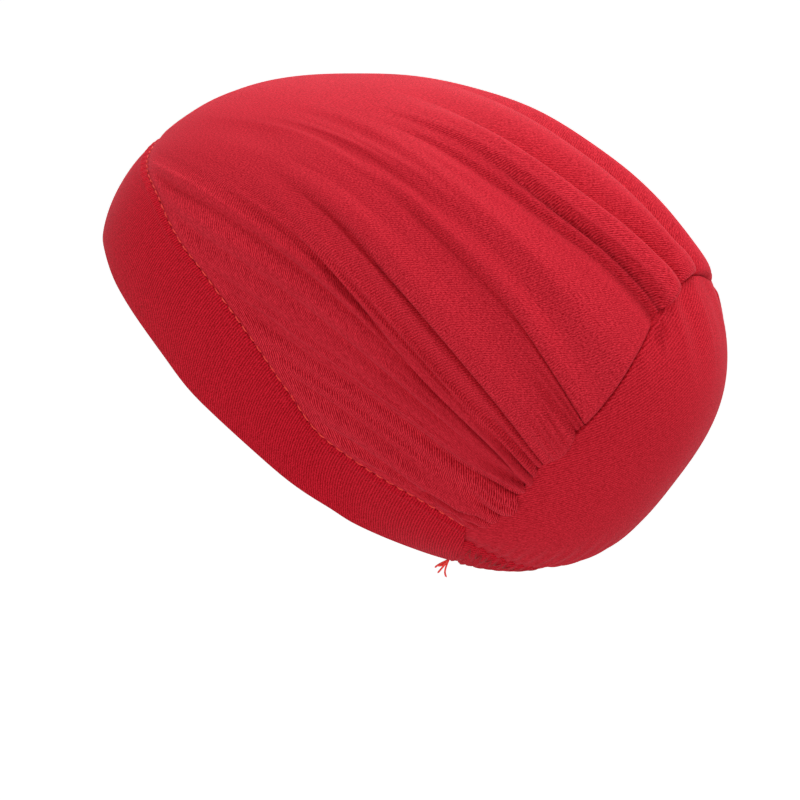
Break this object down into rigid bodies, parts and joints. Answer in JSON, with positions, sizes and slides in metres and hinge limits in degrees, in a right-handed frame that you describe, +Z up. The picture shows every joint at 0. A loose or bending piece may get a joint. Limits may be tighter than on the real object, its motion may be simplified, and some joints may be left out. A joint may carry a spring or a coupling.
{
  "type": "pre-tied turban",
  "caption": "Soft jersey turban cap with a folded brow band, a crown gathered into a rear seam and a pouched back.",
  "frame": {"origin": "middle of the head between the temples, level with the band's lower edge at the brow", "axes": "-Y the way the wearer faces, +X to the wearer's left, +Z up through the head"},
  "size_m": [0.1576, 0.2537, 0.1834],
  "materials": {
    "band_jersey": "matt red jersey, folded double",
    "crown_jersey": "matt heathered red jersey",
    "back_jersey": "matt heathered red jersey",
    "casing_jersey": "matt red jersey, ruched on elastic",
    "stitch_thread": "orange-red sewing thread"
  },
  "bodies": {
    "root": {"brow_band": "band_jersey", "crown": "crown_jersey", "back_panel": "back_jersey", "nape_casing": "casing_jersey"}
  },
  "joints": []
}
